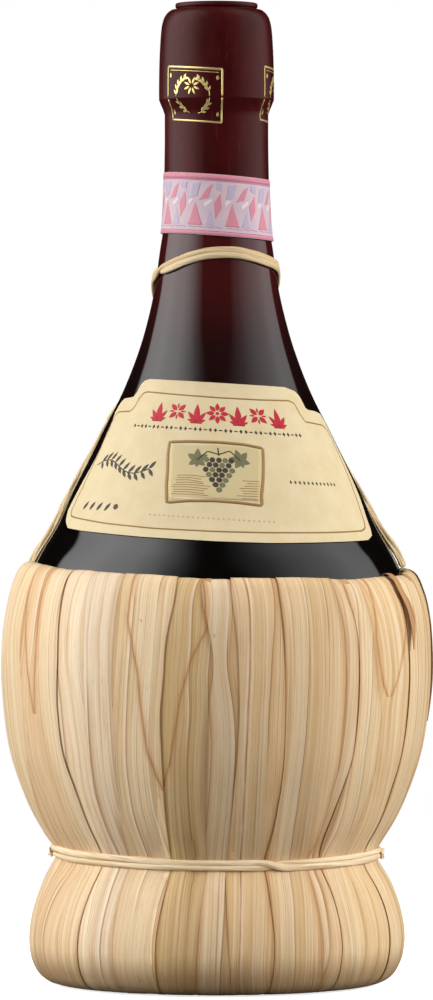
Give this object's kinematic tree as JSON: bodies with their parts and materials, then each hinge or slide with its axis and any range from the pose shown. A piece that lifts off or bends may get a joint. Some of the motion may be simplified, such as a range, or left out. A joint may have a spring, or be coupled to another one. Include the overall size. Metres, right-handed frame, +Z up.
{
  "type": "straw covered wine flask",
  "caption": "Corked round-bottomed wine flask in a straw-blade basket with a waist cord, side strands, a neck loop, a shrunk capsule, a paper seal strip and a shoulder label.",
  "frame": {"origin": "centre of the flat underside of the straw foot, on the flask's axis", "axes": "+Z up along the flask's axis; the label faces -Y; +X is to the right seen from the front"},
  "size_m": [0.115, 0.115, 0.261],
  "materials": {
    "bottle_glass": "gloss",
    "wine": "gloss",
    "cork": "matte",
    "capsule_film": "satin",
    "capsule_disc": "satin",
    "seal_paper": "matte",
    "label_paper": "matte",
    "straw_cord": "matte",
    "straw_blade": "satin",
    "straw_core": "matte",
    "raffia": "satin"
  },
  "bodies": {
    "flask": {"glass_bottle": "bottle_glass", "wine_fill": "wine", "capsule_sleeve": "capsule_film", "seal_strip": "seal_paper", "front_label": "label_paper", "neck_loop": "straw_cord", "strand_left": "straw_cord", "strand_right": "straw_cord", "strand_knots": "straw_cord", "rim_cord": "straw_core", "basket_lining": "straw_core", "under_blades": "straw_blade", "outer_blades": "straw_blade", "waist_cord_upper": "raffia", "waist_cord_lower": "raffia", "waist_knots": "raffia", "base_ring": "straw_core", "foot_braid": "straw_core"},
    "cork": {"cork": "cork"},
    "capsule_top": {"capsule_cap": "capsule_film", "capsule_top_disc": "capsule_disc"}
  },
  "joints": [
    {"name": "cork_pull", "type": "slide", "parent": "flask", "child": "cork", "axis": [0, 0, 1], "range_m": [0, 0.05]},
    {"name": "capsule_lift", "type": "slide", "parent": "cork", "child": "capsule_top", "axis": [0, 0, 1], "range_m": [0, 0.035]}
  ]
}
